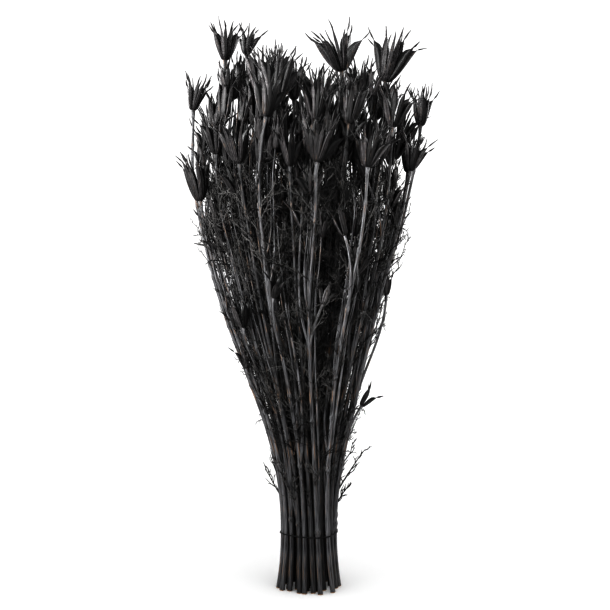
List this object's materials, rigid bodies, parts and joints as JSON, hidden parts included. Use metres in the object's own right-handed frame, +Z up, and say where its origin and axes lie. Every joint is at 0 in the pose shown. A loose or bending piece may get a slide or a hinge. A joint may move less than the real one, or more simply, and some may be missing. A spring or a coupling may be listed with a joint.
{
  "type": "dried nigella seed pod bunch",
  "caption": "Dried, black-dyed nigella stems with beaked seed pods and thread-like leaves, bound at the waist and standing on their cut ends.",
  "frame": {"origin": "on the surface that the bunch stands on, at the middle stem's cut end", "axes": "+Z up along the stems, -Y towards the front of the bunch, +X to its right seen from the front"},
  "size_m": [0.2507, 0.2648, 0.5498],
  "materials": {
    "dyed_stem": "matte",
    "tie": "matte"
  },
  "bodies": {
    "root": {"stem_01": "dyed_stem", "stem_02": "dyed_stem", "stem_03": "dyed_stem", "stem_04": "dyed_stem", "stem_05": "dyed_stem", "stem_06": "dyed_stem", "stem_07": "dyed_stem", "stem_08": "dyed_stem", "stem_09": "dyed_stem", "stem_10": "dyed_stem", "stem_11": "dyed_stem", "stem_12": "dyed_stem", "stem_13": "dyed_stem", "stem_14": "dyed_stem", "stem_15": "dyed_stem", "stem_16": "dyed_stem", "stem_17": "dyed_stem", "stem_18": "dyed_stem", "stem_19": "dyed_stem", "stem_20": "dyed_stem", "stem_21": "dyed_stem", "stem_22": "dyed_stem", "stem_23": "dyed_stem", "stem_24": "dyed_stem", "stem_25": "dyed_stem", "stem_26": "dyed_stem", "stem_27": "dyed_stem", "stem_28": "dyed_stem", "stem_29": "dyed_stem", "stem_30": "dyed_stem", "stem_31": "dyed_stem", "stem_32": "dyed_stem", "stem_33": "dyed_stem", "stem_34": "dyed_stem", "stem_35": "dyed_stem", "stem_36": "dyed_stem", "tie": "tie"}
  },
  "joints": []
}
